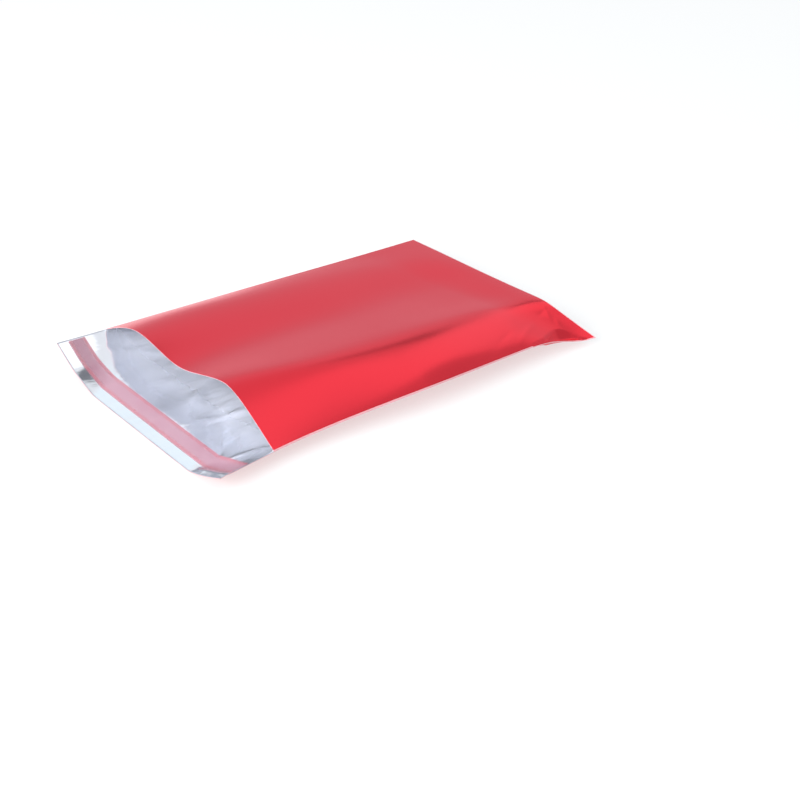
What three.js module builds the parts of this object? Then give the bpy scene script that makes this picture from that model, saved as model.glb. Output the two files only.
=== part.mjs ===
// A foil gift pouch lying open on its back: one folded film with welded side seams, whose back
// panel runs on past the mouth as a flap that carries an adhesive strip under a release liner.
// Millimetres, +Z up. X runs across the pouch, Y from the flap (-Y) to the base fold (+Y).
import * as THREE from "three";

// Film as cut and folded
const POUCH_WIDTH = 162;
const POUCH_LENGTH = 229;
const FLAP_LENGTH = 35;
const FILM_THICKNESS = 0.5;
const SEAM_WIDTH = 4;
const FOLD_DEPTH = 3;

// Peel and seal strip on the inside of the flap
const LINER_WIDTH = 11.5;
const LINER_THICKNESS = 0.4;
const LINER_INSET = 7.5;
const ADHESIVE_WIDTH = 7.5;
const ADHESIVE_THICKNESS = 0.4;
const STRIP_END_GAP = 1;
const BOND_GAP = 0.2;

// Dog-ears at the base corners, where the two layers lie together
const NEAR_EAR_LEG = 28;
const FAR_EAR_LEG = 18;
const EAR_SOFTNESS = 26;
const EAR_GAP = 0.6;

// The base fold is drawn in and lifted between its corners, which fades along the pouch
const BASE_DRAWN_IN = 5;
const BASE_LIFT = 3;
const BASE_FADE = 45;
const LENGTH_DRAWN_IN = 4;

// Above the near dog-ear the fold is drawn further, in one direction, and the ear's seam is let down
// the same way. Each fades across and along: pairs of a share of the width or length and a share of it.
const EAR_DRAW = 14;
const EAR_DROP = 6;
const EAR_DIRECTION = new THREE.Vector3(0.634, -0.6, 0.488);
const DRAW_ACROSS = [[-1, 0], [-0.5, 0.3], [0, 0.6], [0.35, 0.9], [0.5, 1], [0.65, 0.7], [0.8, 0.35], [1, 0]];
const DRAW_ALONG = [[0, 1], [0.066, 0.62], [0.13, 0.36], [0.26, 0.08], [0.41, 0]];
const DROP_ALONG = [[0, 0], [0.044, 0.67], [0.087, 1], [0.2, 1], [0.35, 0.5], [0.57, 0]];

// Sections of the open pouch, from the base fold to the edge of the flap. Each has its place along
// the film, how far the far and near seams are drawn in, the heights of the two seams, and the
// bends of each panel as pairs of a share across (-1 far seam, 1 near seam) and a height.
// Heights and draw-ins are in hundredths of the height of the near wave at the mouth.
const WAVE_HEIGHT = 30;
const SECTIONS = [
  {
    along: 0,
    drawnIn: [10, 7],
    seams: [37, 17],
    front: [[-0.6, 36], [-0.1, 34], [0.5, 35], [0.9, 20]],
    back: [[-0.8, 37], [-0.55, 36], [0.5, 35]],
  },
  {
    along: 0.13 * POUCH_LENGTH,
    drawnIn: [9, 10],
    seams: [34, 36],
    front: [[-0.67, 42], [-0.08, 47], [0.53, 57], [0.9, 41]],
    back: [[-0.8, 24], [-0.5, 8], [0.4, 8]],
  },
  {
    along: 0.26 * POUCH_LENGTH,
    drawnIn: [10, 14],
    seams: [34, 43],
    front: [[-0.74, 46], [-0.07, 50], [0.57, 75], [0.92, 55]],
    back: [[-0.8, 17], [-0.55, -3], [0.4, -3]],
  },
  {
    along: 0.44 * POUCH_LENGTH,
    drawnIn: [13, 13],
    seams: [35, 41],
    front: [[-0.79, 49], [-0.07, 50], [0.61, 90], [0.9, 62]],
    back: [[-0.8, 15], [-0.55, -3], [0.4, -3]],
  },
  {
    along: 0.61 * POUCH_LENGTH,
    drawnIn: [7, 15],
    seams: [31, 39],
    front: [[-0.81, 53], [-0.08, 50], [0.65, 97], [0.93, 54]],
    back: [[-0.8, 15], [-0.55, -3], [0.37, -3]],
  },
  {
    along: 0.81 * POUCH_LENGTH,
    drawnIn: [-7, 24],
    seams: [21, 30],
    front: [[-0.76, 63], [-0.08, 47], [0.65, 99], [0.97, 37]],
    back: [[-0.76, 12], [-0.5, -3], [0.32, -3]],
  },
  {
    along: POUCH_LENGTH,
    drawnIn: [7, 20],
    seams: [28, 25],
    front: [[-0.6, 83], [-0.05, 41], [0.51, 100], [0.95, 33]],
    back: [[-0.8, 13], [-0.5, -3], [0.36, -3]],
  },
  {
    along: POUCH_LENGTH + FLAP_LENGTH / 2,
    drawnIn: [27, 10],
    seams: [39, 27],
    back: [[-0.86, 17], [-0.5, -3], [0.57, -10]],
  },
  {
    along: POUCH_LENGTH + FLAP_LENGTH,
    drawnIn: [48, -3],
    seams: [51, 32],
    back: [[-0.85, 19], [-0.45, -3], [0.69, -3]],
  },
];

// Radii of the bends, as shares of the width
const FRONT_BEND_SHARES = [0.085, 0.105, 0.08, 0.025];
const BACK_BEND_SHARES = [0.05, 0.06, 0.06];

// Cells of the film's surface
const CELLS_ACROSS = 28;
const EAR_CELLS = 13;
const BODY_CELLS = 16;
const FLAP_CELLS = 7;
const STRIP_CELLS = 4;

// A natural cubic spline through the values at the knots, as a function
function spline(knots, values) {
  const count = knots.length;
  const bend = new Array(count).fill(0);
  const ratio = new Array(count).fill(0);
  for (let i = 1; i < count - 1; i++) {
    const left = knots[i] - knots[i - 1];
    const right = knots[i + 1] - knots[i];
    const slopeChange = (values[i + 1] - values[i]) / right - (values[i] - values[i - 1]) / left;
    const pivot = 2 * (left + right) - left * ratio[i - 1];
    ratio[i] = right / pivot;
    bend[i] = (6 * slopeChange - left * bend[i - 1]) / pivot;
  }
  for (let i = count - 2; i > 0; i--) bend[i] -= ratio[i] * bend[i + 1];
  return (at) => {
    let i = 0;
    while (i < count - 2 && at > knots[i + 1]) i++;
    const width = knots[i + 1] - knots[i];
    const b = (at - knots[i]) / width;
    const a = 1 - b;
    const sag = ((a ** 3 - a) * bend[i] + (b ** 3 - b) * bend[i + 1]) * (width ** 2 / 6);
    return a * values[i] + b * values[i + 1] + sag;
  };
}

// Straight stretches through the points, each inner point a soft bend of its own radius
function softLine(points, radii) {
  const [first, last] = [points[0], points[points.length - 1]];
  const slopes = points.slice(1).map((p, i) => (p[1] - points[i][1]) / (p[0] - points[i][0]));
  const bent = (x) =>
    radii.reduce(
      (height, radius, i) => {
        const past = x - points[i + 1][0];
        return height + ((slopes[i + 1] - slopes[i]) * (past + Math.hypot(past, radius))) / 2;
      },
      first[1] + slopes[0] * (x - first[0]),
    );
  const [firstError, lastError] = [bent(first[0]) - first[1], bent(last[0]) - last[1]];
  return (x) => bent(x) - THREE.MathUtils.mapLinear(x, first[0], last[0], firstError, lastError);
}

// Rails run along the film through the same value of every section
const rail = (sections, pick) => spline(sections.map((s) => s.along), sections.map(pick));
const heightRail = (sections, pick) => rail(sections, (s) => (pick(s) / 100) * WAVE_HEIGHT);
function soften(sections, panel, bendShares) {
  const bends = bendShares.map((_, i) => [
    rail(sections, (s) => s[panel][i][0]),
    heightRail(sections, (s) => s[panel][i][1]),
  ]);
  return { bends, radii: bendShares.map((share) => share * POUCH_WIDTH) };
}
const farIn = heightRail(SECTIONS, (s) => s.drawnIn[0]);
const nearIn = heightRail(SECTIONS, (s) => s.drawnIn[1]);
const farSeam = heightRail(SECTIONS, (s) => s.seams[0]);
const nearSeam = heightRail(SECTIONS, (s) => s.seams[1]);
const bagSections = SECTIONS.filter((s) => s.front);
const frontPanel = soften(bagSections, "front", FRONT_BEND_SHARES);
const backPanel = soften(SECTIONS, "back", BACK_BEND_SHARES);

// Place across at a share between the seams, and place lengthwise at a distance from the base fold
function acrossAt(share, along) {
  const far = -POUCH_WIDTH / 2 + farIn(along);
  const near = POUCH_WIDTH / 2 - nearIn(along);
  return THREE.MathUtils.lerp(far, near, (share + 1) / 2);
}

function lengthwiseAt(along) {
  const inBag = Math.min(along, POUCH_LENGTH);
  return (POUCH_LENGTH / 2 - inBag) * (1 - LENGTH_DRAWN_IN / POUCH_LENGTH) - (along - inBag);
}

function panelHeight(panel, share, along) {
  const bends = panel.bends.map(([place, height]) => [acrossAt(place(along), along), height(along)]);
  const far = [acrossAt(-1, along), farSeam(along)];
  const near = [acrossAt(1, along), nearSeam(along)];
  return softLine([far, ...bends, near], panel.radii)(acrossAt(share, along));
}

// Share of the full opening between the panels: none in a dog-ear, all at its softness away
function earOpening(share, along) {
  const opening = (fromSeam, leg) =>
    THREE.MathUtils.smoothstep((fromSeam + along - leg) / Math.SQRT2, 0, EAR_SOFTNESS);
  const fromFar = ((1 + share) * POUCH_WIDTH) / 2;
  const fromNear = ((1 - share) * POUCH_WIDTH) / 2;
  return opening(fromFar, FAR_EAR_LEG) * opening(fromNear, NEAR_EAR_LEG);
}

// A fade read at a share, with its last value beyond its end
function fade(pairs) {
  const curve = spline(pairs.map((p) => p[0]), pairs.map((p) => p[1]));
  const end = pairs[pairs.length - 1][0];
  return (share) => curve(Math.min(share, end));
}
const drawAcross = fade(DRAW_ACROSS);
const drawAlong = fade(DRAW_ALONG);
const dropAlong = fade(DROP_ALONG);

// How far a place on the film is drawn above the near dog-ear
function earDraw(share, along) {
  const place = along / POUCH_LENGTH;
  const drop = THREE.MathUtils.clamp(2 * share - 1, 0, 1) * dropAlong(place);
  return EAR_DRAW * drawAcross(share) * drawAlong(place) - EAR_DROP * drop;
}

// Share of the full draw at the base fold: all in the middle of the fold, none at its corners
function baseDraw(share, along) {
  return (1 - share ** 2) * (1 - THREE.MathUtils.smoothstep(along, 0, BASE_FADE));
}

// Inner face of a panel, side 1 the front and -1 the back, which meet in the seams and the base fold
function innerPoint(side, share, along, welded) {
  const draw = baseDraw(share, along);
  const lift = draw * BASE_LIFT;
  const point = new THREE.Vector3(acrossAt(share, along), lengthwiseAt(along) - draw * BASE_DRAWN_IN, 0);
  const back = Math.max(FILM_THICKNESS, panelHeight(backPanel, share, along)) + lift;
  if (along > POUCH_LENGTH) return point.setZ(back);
  const front = panelHeight(frontPanel, share, along) + lift;
  const parted = Math.max(EAR_GAP, (front - back) * earOpening(share, along));
  const below = welded ? parted / 2 : side > 0 ? 0 : parted;
  point.setZ(Math.max(FILM_THICKNESS, front - below));
  return point.addScaledVector(EAR_DIRECTION, earDraw(share, along));
}

// Lines of the film's surface: across, with one on the inner side of each seam, and along
const evenly = (from, to, cells) =>
  Array.from({ length: cells + 1 }, (_, i) => THREE.MathUtils.lerp(from, to, i / cells));
const seamShare = 1 - (2 * SEAM_WIDTH) / POUCH_WIDTH;
const shares = [-1, ...evenly(-seamShare, seamShare, CELLS_ACROSS - 2), 1];
const earEnd = NEAR_EAR_LEG + EAR_SOFTNESS;
const bodyLines = evenly(earEnd, POUCH_LENGTH, BODY_CELLS).slice(1);
const bagLines = [0, ...evenly(FOLD_DEPTH, earEnd, EAR_CELLS), ...bodyLines];
const flapLines = evenly(POUCH_LENGTH, POUCH_LENGTH + FLAP_LENGTH, FLAP_CELLS).slice(1);

function innerGrid(side, lines) {
  const inSeam = (j) => j < 2 || j > shares.length - 3;
  return lines.map((along, i) =>
    shares.map((share, j) => innerPoint(side, share, along, i < 2 || inSeam(j))),
  );
}

// A surface moved along its own upward normals
function lifted(grid, distance) {
  const clamp = (i, count) => Math.min(Math.max(i, 0), count - 1);
  const at = (i, j) => grid[clamp(i, grid.length)][clamp(j, grid[0].length)];
  return grid.map((row, i) =>
    row.map((point, j) => {
      const towardsNear = at(i, j + 1).clone().sub(at(i, j - 1));
      const towardsBase = at(i - 1, j).clone().sub(at(i + 1, j));
      return point.clone().addScaledVector(towardsNear.cross(towardsBase).normalize(), distance);
    }),
  );
}

// Faces of a thin sheet: its upper and lower surfaces and the edge that joins them
class Sheet {
  positions = [];

  quad(...corners) {
    for (const i of [0, 1, 2, 0, 2, 3]) this.positions.push(...corners[i].toArray());
  }

  surface(grid, facesUp, skipped = () => false) {
    for (let i = 0; i < grid.length - 1; i++) {
      for (let j = 0; j < grid[0].length - 1; j++) {
        if (skipped(i, j)) continue;
        const corners = [grid[i][j], grid[i + 1][j], grid[i + 1][j + 1], grid[i][j + 1]];
        this.quad(...(facesUp ? corners : corners.reverse()));
      }
    }
  }

  edge(upper, lower) {
    const rows = upper.length - 1;
    const columns = upper[0].length - 1;
    const wall = (i, j, k, l) => this.quad(upper[i][j], lower[i][j], lower[k][l], upper[k][l]);
    for (let i = 0; i < rows; i++) {
      wall(i, 0, i + 1, 0);
      wall(i + 1, columns, i, columns);
    }
    for (let j = 0; j < columns; j++) {
      wall(0, j + 1, 0, j);
      wall(rows, j, rows, j + 1);
    }
  }

  geometry() {
    const made = new THREE.BufferGeometry();
    made.setAttribute("position", new THREE.Float32BufferAttribute(this.positions, 3));
    made.computeVertexNormals();
    return made;
  }
}

// The film: both panels and the flap, solid through the side seams and the base fold
function filmGeometry() {
  const frontInner = innerGrid(1, bagLines);
  const backInner = innerGrid(-1, [...bagLines, ...flapLines]);
  const frontOuter = lifted(frontInner, FILM_THICKNESS);
  const backOuter = lifted(backInner, -FILM_THICKNESS);
  const inBag = (i) => i < bagLines.length - 1;
  const welded = (i, j) => inBag(i) && (i === 0 || j === 0 || j === shares.length - 2);
  const film = new Sheet();
  film.surface(frontOuter, true);
  film.surface(frontInner, false, welded);
  film.edge(frontOuter, frontInner);
  film.surface(backInner, true, welded);
  film.surface(backOuter, false);
  film.edge(backInner, backOuter);
  return film.geometry();
}

// A band across the inside of the flap, a height above the film
function bandGeometry(inset, width, height, thickness) {
  const outerLine = POUCH_LENGTH + FLAP_LENGTH - inset;
  const lines = evenly(outerLine - width, outerLine, STRIP_CELLS);
  const endShare = 1 - (2 * STRIP_END_GAP) / POUCH_WIDTH;
  const bandShares = [-endShare, ...shares.slice(1, -1), endShare];
  const flapFace = lines.map((along) => bandShares.map((share) => innerPoint(-1, share, along, false)));
  const lower = lifted(flapFace, height);
  const upper = lifted(flapFace, height + thickness);
  const band = new Sheet();
  band.surface(upper, true);
  band.surface(lower, false);
  band.edge(upper, lower);
  return band.geometry();
}

function piece(name, geometry, material) {
  const made = new THREE.Mesh(geometry, new THREE.MeshStandardMaterial(material));
  made.name = name;
  return made;
}

const adhesiveInset = LINER_INSET + (LINER_WIDTH - ADHESIVE_WIDTH) / 2;
const adhesiveBand = bandGeometry(adhesiveInset, ADHESIVE_WIDTH, BOND_GAP, ADHESIVE_THICKNESS);
const linerHeight = 2 * BOND_GAP + ADHESIVE_THICKNESS;
const linerBand = bandGeometry(LINER_INSET, LINER_WIDTH, linerHeight, LINER_THICKNESS);

const pouch = new THREE.Group();
pouch.add(
  piece("pouch_film", filmGeometry(), { color: 0xc8102e, roughness: 0.35, metalness: 0.9 }),
  piece("adhesive_strip", adhesiveBand, { color: 0xe8e4e0, roughness: 0.5, metalness: 0 }),
  piece("release_liner", linerBand, { color: 0xf08a94, roughness: 0.4, metalness: 0 }),
);

// The origin is under the middle of the pouch, on the surface that it lies on
const box = new THREE.Box3().setFromObject(pouch);
const centre = box.getCenter(new THREE.Vector3());
pouch.position.set(-centre.x, -centre.y, -box.min.z);

export default pouch;
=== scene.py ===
"""A foil gift pouch lying open on its back: red outside, silver inside, with a peel-off strip."""
import math

import bpy
import numpy as np
from mathutils import Matrix, Vector


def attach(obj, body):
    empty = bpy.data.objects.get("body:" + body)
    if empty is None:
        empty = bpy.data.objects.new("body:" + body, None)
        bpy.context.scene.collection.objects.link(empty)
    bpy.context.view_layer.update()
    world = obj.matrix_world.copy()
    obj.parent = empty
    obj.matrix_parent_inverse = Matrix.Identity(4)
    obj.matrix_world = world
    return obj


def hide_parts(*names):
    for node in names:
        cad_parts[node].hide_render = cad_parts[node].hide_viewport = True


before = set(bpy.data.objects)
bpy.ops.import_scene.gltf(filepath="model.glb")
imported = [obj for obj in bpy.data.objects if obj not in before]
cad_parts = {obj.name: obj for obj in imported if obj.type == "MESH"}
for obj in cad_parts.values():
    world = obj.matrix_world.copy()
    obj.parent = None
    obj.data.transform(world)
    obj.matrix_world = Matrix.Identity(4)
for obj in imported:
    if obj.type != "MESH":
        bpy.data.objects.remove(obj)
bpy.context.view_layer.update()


# The pouch film is one length of metallised plastic, red lacquer outside and bare silver inside.
# It is folded once at the base and heat-welded down both sides, and its back panel runs on past
# the mouth as the flap. Here it lies on its back with the front panel lifted into two waves.
POUCH_WIDTH = 162.0  # these sizes are in mm, as in the part
POUCH_LENGTH = 229.0
FLAP_LENGTH = 35.0
FILM = 0.22
SEAM_WIDTH = 1.2
EDGE_WIDTH = 0.7
LENGTH_DRAWN_IN = 4.0

# Places along the film from the base fold; how far in and how high the seams are at each of them.
FILM_PLACES = [0, 32, 60, 130.5, 229, 246.5, 264]
FAR_DRAWN_IN = [3, 2.6, 2.9, 3, 2.2, 8.2, 14.5]
NEAR_DRAWN_IN = [2, 3.2, 4.2, 4.0, 6, 3, -1]
FAR_SEAM = [11, 10.3, 10.2, 9.8, 8.4, 11.7, 15.3]
NEAR_PLACES = [0, 12, 24, 40, 60, 130.5, 229, 246.5, 264]
NEAR_SEAM = [5, 6.4, 9.2, 12.5, 12.8, 12, 7.6, 8.2, 9.6]

# Each lengthwise bend of a panel: places along, shares across, heights and softness there.
FRONT_PLACES = [0, 30, 60, 100, 140, 185, 229]
FRONT_BENDS = [
    (
        FRONT_PLACES,
        [-0.6, -0.67, -0.74, -0.79, -0.81, -0.76, -0.6],
        [10.9, 12.7, 13.7, 14.7, 15.9, 18.8, 24.8],
        [14, 13.5, 13, 14, 16, 17, 14],
    ),
    (
        FRONT_PLACES,
        [-0.1, -0.08, -0.07, -0.07, -0.08, -0.08, -0.05],
        [10.2, 13.1, 13.9, 14.1, 13.2, 12.3, 12.4],
        [16, 16, 17, 19, 19, 19, 16],
    ),
    (
        FRONT_PLACES,
        [0.5, 0.53, 0.57, 0.61, 0.65, 0.645, 0.51],
        [10.5, 17.2, 22.5, 27, 29.2, 29.7, 29.9],
        [5, 6, 9, 12, 14, 9.5, 10],
    ),
    (
        [0, 18, 32, 47, 71, 123, 146, 180, 229],
        [0.9, 0.9, 0.9, 0.918, 0.918, 0.905, 0.945, 0.97, 0.95],
        [6.1, 9.6, 12.8, 15.4, 16.9, 18.3, 15.3, 11.4, 9.8],
        [6, 5, 5, 4, 3, 3, 3, 3, 3],
    ),
]
BACK_BENDS = [
    (
        FILM_PLACES,
        [-0.8, -0.8, -0.8, -0.8, -0.8, -0.8, -0.78],
        [11, 7, 5, 4.5, 3.4, 3.8, 6.3],
        [8, 8, 8, 8, 5, 3, 3],
    ),
    (
        FILM_PLACES,
        [-0.55, -0.5, -0.55, -0.55, -0.5, -0.52, -0.52],
        [10.9, 2, -1, -1, -1, -1, -0.6],
        [10, 10, 10, 10, 8, 6, 6],
    ),
    (
        FILM_PLACES,
        [0.5, 0.4, 0.4, 0.38, 0.36, 0.57, 0.69],
        [10.5, 2, -1, -1, -1, -3, -1],
        [10, 10, 10, 8, 4, 6, 10],
    ),
]

# The base fold is drawn in between its corners and lifted. Above the near ear it is drawn further,
# by this much and this way, and the ear's seam is let down and out.
BASE_PULL, BASE_LIFT, BASE_REACH = 5, 0.6, 45
EAR_PULL = 14
EAR_WAY = (0.634, -0.6, 0.488)
PULL_ACROSS = (
    [-1, -0.5, 0, 0.35, 0.5, 0.65, 0.8, 0.9, 1],
    [0, 0.25, 0.58, 0.88, 1, 0.71, 0.37, 0.16, 0],
)
PULL_ALONG = ([0, 15, 30, 60, 95], [1, 0.62, 0.36, 0.08, 0])
DROP_ALONG = ([0, 10, 20, 45, 80, 130], [0, 4, 6, 6, 3, 0])
DROP_CURVE = 1.2

# Near the base corners the two panels lie together; the near ear has a dent above its seam.
NEAR_EAR_LEG, FAR_EAR_LEG, EAR_SOFTNESS, EAR_GAP = 28, 18, 26, 0.3
DENT_PLACES = [4, 10, 14, 18, 22, 28, 39, 48, 54]
DENT_FOLD = [1.0, 0.962, 0.89, 0.863, 0.858, 0.882, 0.95, 0.976, 1.0]  # the share where it starts
DENT_DEPTH = [0, 1.0, 2.0, 2.8, 3.2, 3.3, 2.4, 1.0, 0]
DENT_BOTTOM = 0.45  # how far across the dent it is deepest

# Straight creases: share and place along of both ends, then height and width.
FRONT_CREASES = [
    ((0.48, 3), (0.78, 18), 0.22, 1.6),
    ((0.58, 4), (0.70, 26), -0.2, 1.6),
    ((0.70, 8), (0.92, 22), 0.2, 1.6),
    ((0.74, 30), (0.97, 62), 0.3, 2.0),
    ((0.80, 52), (0.96, 84), -0.2, 2.0),
]
BACK_CREASES = [
    ((0.22, 246), (0.50, 200), 0.9, 2.2),
    ((0.76, 250), (0.965, 222), 0.6, 1.2),
    ((0.62, 260), (1.06, 260), 1.3, 2.2),
    ((-0.20, 192), (0.14, 236), 1.3, 4.5),
    ((0.20, 194), (0.32, 228), 1.0, 3.5),
    ((-0.96, 226), (-0.70, 190), 0.4, 1.5),
    ((-0.90, 240), (-0.62, 196), -0.4, 1.5),
    ((-0.84, 238), (-0.50, 200), 0.35, 1.5),
]

# Ripples die out towards the seams and the base, and differ between the panels by a shift.
SEAM_HOLD = 9  # each seam holds a ninth of the half width taut beside it
BASE_HOLD = 25
RIPPLE_SHIFT = 40


def rail(places, values, along):
    """A natural cubic spline through values at places, read at along."""
    places, values = np.asarray(places, float), np.asarray(values, float)
    gaps = np.diff(places)
    slopes = np.diff(values) / gaps
    count = len(places)
    system, pull = np.eye(count), np.zeros(count)
    for i in range(1, count - 1):
        system[i, i - 1:i + 2] = gaps[i - 1], 2 * (gaps[i - 1] + gaps[i]), gaps[i]
        pull[i] = 6 * (slopes[i] - slopes[i - 1])
    bend = np.linalg.solve(system, pull)
    i = np.clip(np.searchsorted(places, along) - 1, 0, count - 2)
    b = (along - places[i]) / gaps[i]
    a = 1 - b
    sag = ((a ** 3 - a) * bend[i] + (b ** 3 - b) * bend[i + 1]) * gaps[i] ** 2 / 6
    return a * values[i] + b * values[i + 1] + sag


def rail_to_end(rail_points, along):
    """A rail that keeps its last value past its end."""
    return rail(*rail_points, np.minimum(along, rail_points[0][-1]))


def smooth_step(value):
    value = np.clip(value, 0, 1)
    return value * value * (3 - 2 * value)


def across(share, along):
    """Place across the pouch at a share between the seams: -1 is the far one, 1 the near one."""
    far = -POUCH_WIDTH / 2 + rail(FILM_PLACES, FAR_DRAWN_IN, along)
    near = POUCH_WIDTH / 2 - rail(FILM_PLACES, NEAR_DRAWN_IN, along)
    return far + (near - far) * (share + 1) / 2


def lengthwise(along):
    """Place lengthwise of the pouch, which is a little shorter than the film as it bulges."""
    in_bag = np.minimum(along, POUCH_LENGTH)
    return (POUCH_LENGTH / 2 - in_bag) * (1 - LENGTH_DRAWN_IN / POUCH_LENGTH) - (along - in_bag)


def panel_height(bends, share, along):
    """Straight stretches between the seams with a soft bend at each of the panel's bends."""
    points = [(across(-1, along), rail(FILM_PLACES, FAR_SEAM, along))]
    for places, shares_there, heights, _ in bends:
        x_there = across(rail(places, shares_there, along), along)
        points.append((x_there, rail(places, heights, along)))
    points.append((across(1, along), rail(NEAR_PLACES, NEAR_SEAM, along)))
    softness = [rail(places, radii, along) for places, _, _, radii in bends]
    slopes = [(q[1] - p[1]) / (q[0] - p[0]) for p, q in zip(points, points[1:])]

    def bent(x):
        height = points[0][1] + slopes[0] * (x - points[0][0])
        for i, radius in enumerate(softness):
            past = x - points[i + 1][0]
            height = height + (slopes[i + 1] - slopes[i]) * (past + np.hypot(past, radius)) / 2
        return height

    x = across(share, along)
    (x0, z0), (x1, z1) = points[0], points[-1]
    first, last = bent(x0) - z0, bent(x1) - z1
    return bent(x) - first - (last - first) * (x - x0) / (x1 - x0)


def creased(creases, share, along):
    """Height of straight creases, each fading out over a third of its length at both ends."""
    height = 0 * share
    for (s0, a0), (s1, a1), rise, width in creases:
        start = np.array([s0 * POUCH_WIDTH / 2, a0])
        run = np.array([s1 * POUCH_WIDTH / 2, a1]) - start
        dx, dy = share * POUCH_WIDTH / 2 - start[0], along - start[1]
        t = (dx * run[0] + dy * run[1]) / (run @ run)
        off = np.abs(dx * run[1] - dy * run[0]) / np.linalg.norm(run)
        fade = smooth_step(3 * t) * smooth_step(3 * (1 - t))
        height = height + rise * fade * np.exp(-off / width)
    return height


def dent(share, along):
    """Depth of the trough between the near ear's fold line and its seam, steep from the fold."""
    fold = np.interp(along, DENT_PLACES, DENT_FOLD)
    into = np.clip((share - fold) / np.maximum(1 - fold, 1e-6), 0, 1)
    falling = 1 - (1 - np.clip(into / DENT_BOTTOM, 0, 1)) ** 2
    rising = 1 - smooth_step((into - DENT_BOTTOM) / (1 - DENT_BOTTOM))
    return np.interp(along, DENT_PLACES, DENT_DEPTH) * falling * rising


def ripple(x, y):
    """Slow dents of a film that was folded flat before: three waves, heights and lengths in mm."""
    swerving = 0.10 * np.sin(x / 7.3 + 0.7 * np.sin(y / 61) + 0.4)
    slanting = 0.08 * np.sin(x / 11.9 - y / 83 + 1.9)
    crossing = 0.05 * np.sin(y / 17 + x / 29)
    return swerving + slanting + crossing


def ear_opening(from_seam, along, leg):
    """How far the panels part near a base corner: 0 in the ear, 1 well away from it."""
    return smooth_step((from_seam + along - leg) / math.sqrt(2) / EAR_SOFTNESS)


def inner_face(side, share, along, in_weld):
    """The inner face of a panel, side 1 the front and -1 the back. Both meet in the welds."""
    x, y = across(share, along), lengthwise(along)
    in_bag = np.minimum(along, POUCH_LENGTH)
    from_far, from_near = (1 + share) * POUCH_WIDTH / 2, (1 - share) * POUCH_WIDTH / 2
    lying = np.maximum(FILM, panel_height(BACK_BENDS, share, along))
    risen = panel_height(FRONT_BENDS, share, in_bag)
    opening = ear_opening(from_far, along, FAR_EAR_LEG)
    opening = opening * ear_opening(from_near, along, NEAR_EAR_LEG)
    drawn = BASE_PULL * (1 - share ** 2) * (1 - smooth_step(along / BASE_REACH))
    y = y - drawn
    free = smooth_step((1 - np.abs(share)) * SEAM_HOLD) * smooth_step(along / BASE_HOLD)
    lying = lying + BASE_LIFT * drawn + free * ripple(x, y - RIPPLE_SHIFT)
    lying = lying + creased(BACK_CREASES, share, along)
    risen = risen + BASE_LIFT * drawn - dent(share, along)
    loose = free * ripple(x, y + RIPPLE_SHIFT) + creased(FRONT_CREASES, share, along)
    risen = risen + np.where(in_weld, 0, loose)
    parted = np.where(in_weld, 0, np.maximum(EAR_GAP, (risen - lying) * opening))
    lying = np.where(along > POUCH_LENGTH, lying, risen - parted)
    z = np.maximum(FILM, risen if side > 0 else lying)
    pull = EAR_PULL * rail(*PULL_ACROSS, share) * rail_to_end(PULL_ALONG, along)
    drop = rail_to_end(DROP_ALONG, along) * np.clip(2 * share - 1, 0, 1) ** DROP_CURVE
    return np.stack([x, y, z], -1) + (pull - drop)[..., None] * np.array(EAR_WAY)


def lifted(grid, distance):
    """A grid of points moved along its own upward normals."""
    normal = np.cross(np.gradient(grid, axis=1), -np.gradient(grid, axis=0))
    return grid + distance * normal / np.linalg.norm(normal, axis=-1, keepdims=True)


def runs(*stretches):
    """Places in a row: each stretch is its start, its end and its number of steps."""
    steps = [np.linspace(start, end, count + 1)[:-1] for start, end, count in stretches]
    return np.concatenate(steps + [[stretches[-1][1]]])


# The grid's lines are closer beside the seams, at the base with its ears and at the mouth.
half = POUCH_WIDTH / 2
edge_line, weld_line = half - EDGE_WIDTH, half - SEAM_WIDTH
FAR_FLANK, NEAR_FLANK, EARS_END, MOUTH_START = -65, 36, 64, 196
shares = runs(
    (-half, -edge_line, 1), (-edge_line, -weld_line, 1), (-weld_line, FAR_FLANK, 12),
    (FAR_FLANK, NEAR_FLANK, 48),
    (NEAR_FLANK, weld_line, 46), (weld_line, edge_line, 1), (edge_line, half, 1),
) / half
bag_lines = runs(
    (0, EDGE_WIDTH, 1), (EDGE_WIDTH, SEAM_WIDTH, 1), (SEAM_WIDTH, EARS_END, 58),
    (EARS_END, MOUTH_START, 54), (MOUTH_START, POUCH_LENGTH, 26),
)
flap_end = POUCH_LENGTH + FLAP_LENGTH
flap_rim_line = flap_end - EDGE_WIDTH
flap_lines = runs((POUCH_LENGTH, flap_rim_line, 28), (flap_rim_line, flap_end, 1))[1:]
WELD = 3  # grid lines in a weld


def film_face(side, lines):
    """The inner face of a panel on the grid, side 1 the front and -1 the back with its flap."""
    share, along = np.meshgrid(shares, lines)
    column, row = np.arange(len(shares))[None, :], np.arange(len(lines))[:, None]
    in_weld = (column < WELD) | (column >= len(shares) - WELD) | (row < WELD)
    return inner_face(side, share, along, in_weld)


front_inside = film_face(1, bag_lines)
back_inside = film_face(-1, np.concatenate([bag_lines, flap_lines]))
front_outside = lifted(front_inside, FILM)
back_outside = lifted(back_inside, -FILM)
every_point = np.concatenate([g.reshape(-1, 3) for g in (front_outside, back_outside)])
to_frame = -(every_point.min(0) + every_point.max(0)) / 2
to_frame[2] = 0


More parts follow.
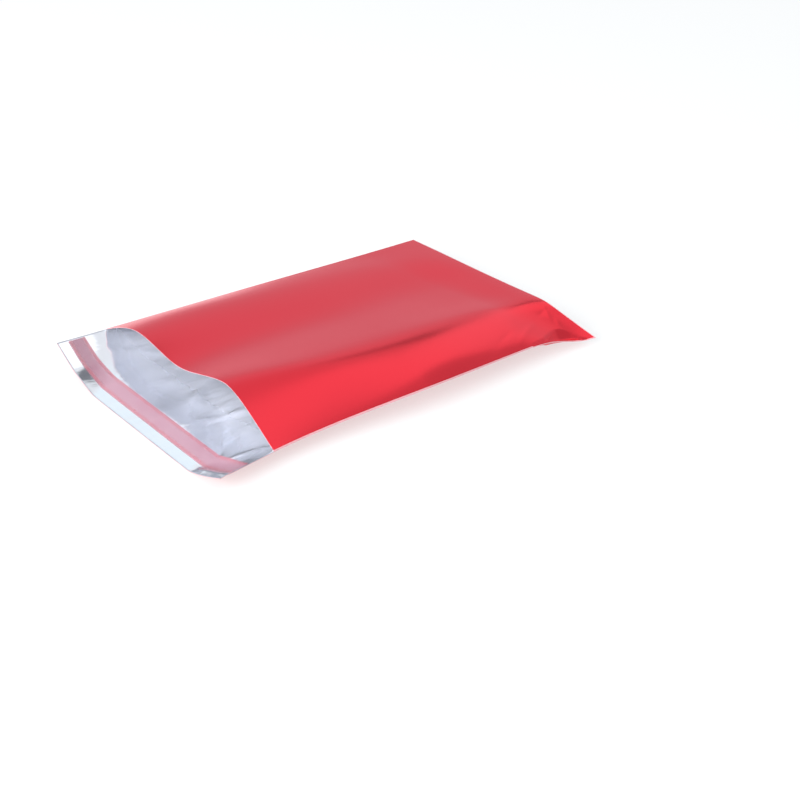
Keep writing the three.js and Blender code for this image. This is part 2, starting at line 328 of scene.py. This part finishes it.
class Sheet:
    """The points and faces of thin sheets, each face with the number of its material."""

    SHARP = math.radians(50)  # edges that turn by more than this stay sharp
    MM_IN_METRE = 1000

    def __init__(self):
        self.points, self.faces, self.worn = [], [], []

    def grid(self, points):
        """Adds a grid of points and gives their numbers."""
        start = sum(len(p) for p in self.points)
        self.points.append(points.reshape(-1, 3))
        return start + np.arange(points.shape[0] * points.shape[1]).reshape(points.shape[:2])

    def quads(self, corners, materials):
        self.faces.append(np.stack([c.ravel() for c in corners], 1))
        self.worn.append(np.broadcast_to(materials, corners[0].shape).ravel())

    def surface(self, ids, up, materials, kept=None):
        """Faces over a grid, all of them or only those that are kept."""
        corners = [ids[:-1, :-1], ids[1:, :-1], ids[1:, 1:], ids[:-1, 1:]]
        materials = np.broadcast_to(materials, corners[0].shape)
        if kept is not None:
            corners, materials = [c[kept] for c in corners], materials[kept]
        self.quads(corners if up else corners[::-1], materials)

    def edge(self, upper, lower, material):
        """Faces around the rim, from an upper grid down to a lower one."""
        def ring(ids):
            return np.concatenate([ids[:-1, 0], ids[-1, :-1], ids[:0:-1, -1], ids[0, :0:-1]])
        top, bottom = ring(upper), ring(lower)
        self.quads([top, bottom, np.roll(bottom, -1), np.roll(top, -1)], material)

    def made(self, name, materials):
        """The finished piece, in metres and in the shared frame."""
        mesh = bpy.data.meshes.new(name)
        points = (np.concatenate(self.points) + to_frame) / self.MM_IN_METRE
        mesh.from_pydata(points.tolist(), [], np.concatenate(self.faces).tolist())
        for material in materials:
            mesh.materials.append(material)
        worn = np.concatenate(self.worn).astype(np.int32)
        mesh.polygons.foreach_set("material_index", worn)
        mesh.update()
        mesh.shade_smooth()
        mesh.set_sharp_from_angle(angle=self.SHARP)
        made = bpy.data.objects.new(name, mesh)
        bpy.context.collection.objects.link(made)
        return made


class Shade:
    """A socket in a node tree, with Python's operators as Math nodes."""

    def __init__(self, tree, socket=None):
        self.tree, self.socket = tree, socket

    def node(self, kind, settings=None, output=0, **inputs):
        """Any node: inputs go by name, or by number after an underscore."""
        made = self.tree.nodes.new(kind)
        for key, value in (settings or {}).items():
            setattr(made, key, value)
        for key, value in inputs.items():
            socket = made.inputs[int(key[1:]) if key[0] == "_" else key.replace("_", " ")]
            if isinstance(value, Shade):
                self.tree.links.new(value.socket, socket)
            else:
                socket.default_value = value
        return Shade(self.tree, made.outputs[output])

    def maths(self, operation, *values):
        inputs = {f"_{i}": value for i, value in enumerate(values)}
        return self.node("ShaderNodeMath", {"operation": operation}, **inputs)

    def mixed(self, one, other):
        """One colour where this value is 0, the other where it is 1."""
        return self.node("ShaderNodeMix", {"data_type": "RGBA"}, 2, _0=self, _6=one, _7=other)

    def past(self, start, end):
        """0 before the start and 1 past the end, with a soft step between them."""
        soft = {"interpolation_type": "SMOOTHSTEP"}
        return self.node("ShaderNodeMapRange", soft, Value=self, From_Min=start, From_Max=end)

    def into(self, socket):
        self.tree.links.new(self.socket, socket)

    def __add__(self, other):
        return self.maths("ADD", self, other)

    def __radd__(self, other):
        return self.maths("ADD", other, self)

    def __sub__(self, other):
        return self.maths("SUBTRACT", self, other)

    def __rsub__(self, other):
        return self.maths("SUBTRACT", other, self)

    def __mul__(self, other):
        return self.maths("MULTIPLY", self, other)

    def __rmul__(self, other):
        return self.maths("MULTIPLY", other, self)

    def __truediv__(self, other):
        return self.maths("DIVIDE", self, other)

    def __rtruediv__(self, other):
        return self.maths("DIVIDE", other, self)


def new_finish(name, **constants):
    """A material of one Principled shader: itself, the shader's inputs, and a place for nodes."""
    material = bpy.data.materials.new(name)
    material.use_nodes = True
    shader = material.node_tree.nodes["Principled BSDF"].inputs
    for key, value in constants.items():
        shader[key.replace("_", " ")].default_value = value
    return material, shader, Shade(material.node_tree)


def on_piece(nodes):
    """The place on the piece, in metres."""
    return nodes.node("ShaderNodeTexCoord", output=3)


def noise(nodes, scale, detail, stretch=(1.0, 1.0, 1.0)):
    """Noise over the piece, in cycles per metre."""
    place = nodes.node("ShaderNodeMapping", Vector=on_piece(nodes), Scale=stretch)
    return nodes.node("ShaderNodeTexNoise", Vector=place, Scale=scale, Detail=detail)


red_film, red, nodes = new_finish(
    "red_metallised_film", Metallic=1.0, Specular_Tint=(1, 0.62, 0.68, 1),
    Coat_Weight=0.38, Coat_Roughness=0.25, Coat_IOR=1.5,
)
cloud, grain = noise(nodes, 14, 3), noise(nodes, 900, 2)
cloud.mixed((0.80, 0.025, 0.043, 1), (0.84, 0.029, 0.050, 1)).into(red["Base Color"])
(0.22 + 0.05 * cloud + 0.02 * grain).into(red["Roughness"])
nodes.node("ShaderNodeBump", Height=grain, Strength=0.06, Distance=0.0004).into(red["Normal"])

# The silver is crinkled inside the bag and taut on the flap, and duller inside as painted light.
PAINTED_DULL_UNTIL, PAINTED_BRIGHT_FROM = -0.075, -0.108  # places through the mouth to the flap, in metres
LOOSE_UNTIL, TAUT_FROM = -0.082, -0.106
silver_film, silver, nodes = new_finish("silver_film_inside")
streaks = noise(nodes, 150, 4, (1.0, 0.10, 1.0))
crinkle = noise(nodes, 60, 3, (1.0, 0.30, 1.0))
lengthwise_place = nodes.node("ShaderNodeSeparateXYZ", output=1, Vector=on_piece(nodes))
on_flap = lengthwise_place.past(PAINTED_DULL_UNTIL, PAINTED_BRIGHT_FROM)
taut = lengthwise_place.past(LOOSE_UNTIL, TAUT_FROM)
streaks.mixed((0.84, 0.86, 0.92, 1), (0.92, 0.93, 0.98, 1)).into(silver["Base Color"])
# Painted light: the same film is made less metallic inside the bag, for the light scattered in the
# hollow, and mirror-like on the flap.
(0.66 + 0.24 * on_flap).into(silver["Metallic"])
(0.10 + 0.16 * streaks - 0.06 * on_flap).into(silver["Roughness"])
folds = crinkle * (1 - 0.88 * taut)
relief = nodes.node("ShaderNodeBump", Height=folds, Strength=0.9, Distance=0.0024)
relief = nodes.node("ShaderNodeBump", Height=streaks, Normal=relief, Strength=0.4, Distance=0.0005)
relief.into(silver["Normal"])

# Cut film edges in a pinkish tone. The same colour also lies in thin strips on the red face along
# the base fold and the near seam, as a painted highlight.
cut_edge_and_highlight, edge, nodes = new_finish("film_edge_and_painted_highlight", Metallic=0.3, Roughness=0.4)
noise(nodes, 700, 2).mixed((0.64, 0.28, 0.31, 1), (0.78, 0.42, 0.45, 1)).into(edge["Base Color"])

# A patchy grey band, darker than the silver, along the flap's sides and end.
flap_rim, rim, nodes = new_finish("patchy_grey_silver_rim", Metallic=0.3, Roughness=0.35)
noise(nodes, 120, 3).mixed((0.26, 0.27, 0.33, 1), (0.62, 0.64, 0.70, 1)).into(rim["Base Color"])

# The panels share their points in the welds, so the film is one closed shell with a mouth.
RED, SILVER, CUT_AND_HIGHLIGHT, RIM = 0, 1, 2, 3
film = Sheet()
front_in, back_in = film.grid(front_inside), film.grid(back_inside)
front_out, back_out = film.grid(front_outside), film.grid(back_outside)
rows, columns = len(bag_lines), len(shares)
front_in[:WELD] = back_in[:WELD]
front_in[:, :WELD] = back_in[:rows, :WELD]
front_in[:, -WELD:] = back_in[:rows, -WELD:]
open_front = np.ones((rows - 1, columns - 1), bool)
open_front[:WELD - 1] = open_front[:, :WELD - 1] = open_front[:, 1 - WELD:] = False
open_back = np.ones((len(back_in) - 1, columns - 1), bool)
open_back[:rows - 1] = open_front
# Along the base fold and the near seam, a thin strip of the red face takes the pale edge colour: a
# painted highlight line.
outside = np.full((rows - 1, columns - 1), RED)
outside[0] = outside[:, -1] = CUT_AND_HIGHLIGHT
inside = np.full((len(back_in) - 1, columns - 1), SILVER)
inside[rows - 1:, 0] = inside[rows - 1:, -1] = inside[-1] = RIM
film.surface(front_out, True, outside)
film.surface(front_in, False, SILVER, open_front)
film.edge(front_out, front_in, CUT_AND_HIGHLIGHT)
film.surface(back_in, True, inside, open_back)
film.surface(back_out, False, RED)
film.edge(back_in, back_out, CUT_AND_HIGHLIGHT)
pouch = film.made("pouch_film_sheet", [red_film, silver_film, cut_edge_and_highlight, flap_rim])
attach(pouch, "root")
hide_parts("pouch_film")


# The adhesive strip is a clear glue band, laid on the silver side of the flap in one straight run
# from edge to edge. It is a little narrower than the liner that covers it.
LINER_WIDTH, LINER_INSET = 11.5, 7.5
ADHESIVE_WIDTH, ADHESIVE, ADHESIVE_LIFT = 7.5, 0.12, 0.05
OVERHANG = (LINER_WIDTH - ADHESIVE_WIDTH) / 2
BAND_END_GAP = 1  # from the band's end to the edge of the flap
GLUE_ROWS = 8


def flap_band(name, lines, lift, thick, materials, worn):
    """A thin band across the flap, lifted off the silver; worn is each row's material."""
    ends = 1 - 2 * BAND_END_GAP / POUCH_WIDTH
    share, along = np.meshgrid(np.concatenate([[-ends], shares[2:-2], [ends]]), lines)
    seat = inner_face(-1, share, along, np.zeros(share.shape, bool))
    band = Sheet()
    low, high = band.grid(lifted(seat, lift)), band.grid(lifted(seat, lift + thick))
    band.surface(high, True, np.array(worn)[:, None])
    band.surface(low, False, np.array(worn)[:, None])
    band.edge(high, low, 0)
    return band.made(name, materials)


clear_glue, glue, nodes = new_finish("clear_glue", Roughness=0.35, Alpha=0.2)
noise(nodes, 160, 3).mixed((0.76, 0.75, 0.82, 1), (0.90, 0.88, 0.94, 1)).into(glue["Base Color"])
liner_end = flap_end - LINER_INSET
glue_end = liner_end - OVERHANG
glue_lines = runs((glue_end - ADHESIVE_WIDTH, glue_end, GLUE_ROWS))
adhesive = flap_band(
    "adhesive_band", glue_lines, ADHESIVE_LIFT, ADHESIVE, [clear_glue], [0] * GLUE_ROWS
)
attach(adhesive, "root")
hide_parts("adhesive_strip")


# The release liner is a thin pink see-through film that keeps dust off the glue until the flap is
# closed. It overhangs the glue along both sides, so that a fingernail can lift it.
LINER, LINER_LIFT, OVERHANG_ROWS = 0.1, 0.22, 3
over_glue, pink, nodes = new_finish("pink_liner_over_glue", Roughness=0.2, Alpha=0.38)
wave = noise(nodes, 110, 4)
wave.mixed((0.68, 0.28, 0.39, 1), (0.75, 0.42, 0.51, 1)).into(pink["Base Color"])
nodes.node("ShaderNodeBump", Height=wave, Strength=0.3, Distance=0.0006).into(pink["Normal"])
overhang, pink, nodes = new_finish("pink_liner_overhang", Roughness=0.2, Alpha=0.48)
noise(nodes, 90, 3).mixed((0.64, 0.23, 0.29, 1), (0.71, 0.30, 0.36, 1)).into(pink["Base Color"])
liner_start = liner_end - LINER_WIDTH
liner_lines = runs(
    (liner_start, liner_start + OVERHANG, OVERHANG_ROWS),
    (liner_start + OVERHANG, glue_end, GLUE_ROWS),
    (glue_end, liner_end, OVERHANG_ROWS),
)
liner_worn = [0] * OVERHANG_ROWS + [1] * GLUE_ROWS + [0] * OVERHANG_ROWS
liner = flap_band(
    "release_liner_band", liner_lines, LINER_LIFT, LINER, [overhang, over_glue], liner_worn
)
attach(liner, "root")
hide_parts("release_liner")


# The table is a plain sheet of white paper, large enough to fill the view.
# It lies just under the pouch, glows a little to the eye and keeps the pouch's soft shadow.
TABLE_HALF, TABLE_DROP, PAPER_GLOW = 6, 0.0002, 0.6
sweep_mesh = bpy.data.meshes.new("white_table")
corners = [(x * TABLE_HALF, y * TABLE_HALF, 0) for x, y in ((-1, -1), (1, -1), (1, 1), (-1, 1))]
sweep_mesh.from_pydata(corners, [], [(0, 1, 2, 3)])
sweep = bpy.data.objects.new("white_table", sweep_mesh)
sweep.location.z = -TABLE_DROP
bpy.context.collection.objects.link(sweep)
white_paper, _, nodes = new_finish(
    "white_paper", Base_Color=(0.9, 0.9, 0.9, 1), Roughness=0.9, Specular_IOR_Level=0.0
)
rays = nodes.node("ShaderNodeLightPath").socket.node.outputs
seen = Shade(nodes.tree, rays["Is Camera Ray"])
for kind in ("Is Glossy Ray", "Is Transmission Ray"):
    seen = seen.maths("MAXIMUM", seen, Shade(nodes.tree, rays[kind]))
outlet = white_paper.node_tree.nodes["Material Output"].inputs["Surface"]
lit = Shade(nodes.tree, outlet.links[0].from_socket)
bare = nodes.node("ShaderNodeEmission", Color=(1, 1, 1, 1), Strength=1.0)
nodes.node("ShaderNodeMixShader", _0=PAPER_GLOW * seen, _1=lit, _2=bare).into(outlet)
sweep_mesh.materials.append(white_paper)


# The studio has a pale surround and a long strip softbox that hangs over the pouch, behind it and
# to its far side. The wall right of the strip is dim, with a bright panel further back, and left
# of the strip there is a dark gap. A lamp in front lights the inside.
STRIP_HEIGHT, STRIP_LENGTH, STRIP_WIDTH, STRIP_RADIANCE = 1.0, 3.4, 0.37, 0.33
STRIP_START = Vector((0.54, 0.13))  # the strip's near end, seen from above
STRIP_TURN = math.radians(42)
FILL_PLACE, FILL_AIM = (0.2, -1.5, 0.6), (0, -0.08, 0)
FILL_WIDTH, FILL_HEIGHT, FILL_RADIANCE = 1.4, 1.0, 11
LOW_WALL, HIGH_WALL = (0.74, 0.77, 0.80, 1), (0.85, 0.87, 0.89, 1)
COOL_SIDE, DIM_SIDE = (0.86, 0.97, 1.02, 1), (0.62, 0.63, 0.66, 1)
BRIGHT_PANEL, DARK_GAP = (1.02, 1.02, 1.04, 1), (0.03, 0.03, 0.05, 1)
HORIZON = 0.02  # directions lower than this count as this high

lengthways = Vector((-math.sin(STRIP_TURN), math.cos(STRIP_TURN)))
sideways = Vector((-math.cos(STRIP_TURN), -math.sin(STRIP_TURN)))
studio = bpy.data.worlds.new("studio")
bpy.context.scene.world = studio
studio.use_nodes = True
nodes = Shade(studio.node_tree)
aim = nodes.node("ShaderNodeSeparateXYZ", Vector=nodes.node("ShaderNodeTexCoord"))
aim_x, aim_y, aim_z = (Shade(nodes.tree, aim.socket.node.outputs[axis]) for axis in "XYZ")
up_z = aim_z.maths("MAXIMUM", aim_z, HORIZON) / STRIP_HEIGHT


def on_ceiling(way):
    """Where a direction meets the strip's level, measured along a way from the strip's start."""
    return (aim_x * way.x + aim_y * way.y) / up_z - STRIP_START.dot(way)


# Each patch of the surround fades in and out between places at the strip's level, in metres.
beyond, beside = on_ceiling(lengthways), on_ceiling(sideways)
wall = aim_z.past(0.22, 0.45).mixed(LOW_WALL, HIGH_WALL)
cool_side = beside.past(0.4, 0.9) * aim_z.past(0.40, 0.50)
wall = cool_side.mixed(wall, COOL_SIDE)
dim_side = (1 - beside.past(-0.32, -0.16)) * (1 - beyond.past(1.0, 1.4))
wall = dim_side.mixed(wall, DIM_SIDE)
panel = beside.past(-0.5, -0.4) * (1 - beside.past(-0.2, -0.14))
panel = panel * beyond.past(0.85, 1.1) * (1 - beyond.past(2.1, 2.4))
wall = panel.mixed(wall, BRIGHT_PANEL)
gap = beside.past(0.17, 0.23) * (1 - beside.past(0.45, 0.55))
gap = gap * beyond.past(1.52, 1.6) * (1 - beyond.past(1.9, 2.0))
wall = gap.mixed(wall, DARK_GAP)
wall.into(studio.node_tree.nodes["Background"].inputs["Color"])


def softbox(name, place, aimed_at, width, height, radiance):
    """A rectangular lamp of a given radiance, facing a point."""
    lamp = bpy.data.lights.new(name, "AREA")
    lamp.shape, lamp.size, lamp.size_y = "RECTANGLE", width, height
    lamp.energy = radiance * math.pi * width * height
    box = bpy.data.objects.new(name, lamp)
    box.rotation_mode = "QUATERNION"
    box.rotation_quaternion = (Vector(place) - Vector(aimed_at)).to_track_quat("Z", "Y")
    box.location = place
    bpy.context.collection.objects.link(box)
    return box


middle = STRIP_START + lengthways * STRIP_LENGTH / 2
strip = softbox(
    "strip_softbox", (*middle, STRIP_HEIGHT), (*middle, 0),
    STRIP_WIDTH, STRIP_LENGTH, STRIP_RADIANCE,
)
strip.rotation_quaternion = Matrix.Rotation(STRIP_TURN, 3, "Z").to_quaternion()
softbox("mouth_fill", FILL_PLACE, FILL_AIM, FILL_WIDTH, FILL_HEIGHT, FILL_RADIANCE)


# The camera stands to the near side of the flap and looks down along the pouch,
# with a long lens and a slight roll.
FOCAL_PIXELS, IMAGE_PIXELS, SENSOR = 1256, 800, 36
DISTANCE, TARGET = 0.65177, Vector((0.06269, -0.00458, 0))
elevation, azimuth, roll = (math.radians(angle) for angle in (29.205, 46.594, 4.06))
back = Vector((
    math.sin(azimuth) * math.cos(elevation),
    -math.cos(azimuth) * math.cos(elevation),
    math.sin(elevation),
))
level = Vector((math.cos(azimuth), math.sin(azimuth), 0))
upward = back.cross(level)
right = level * math.cos(roll) + upward * math.sin(roll)
up = upward * math.cos(roll) - level * math.sin(roll)
lens = bpy.data.cameras.new("camera")
lens.sensor_width = SENSOR
lens.lens = FOCAL_PIXELS / IMAGE_PIXELS * SENSOR
camera = bpy.data.objects.new("camera", lens)
turned = Matrix((right, up, back)).transposed().to_4x4()
camera.matrix_world = Matrix.Translation(TARGET + back * DISTANCE) @ turned
bpy.context.collection.objects.link(camera)
bpy.context.scene.camera = camera
bpy.context.scene.view_settings.view_transform = "Standard"
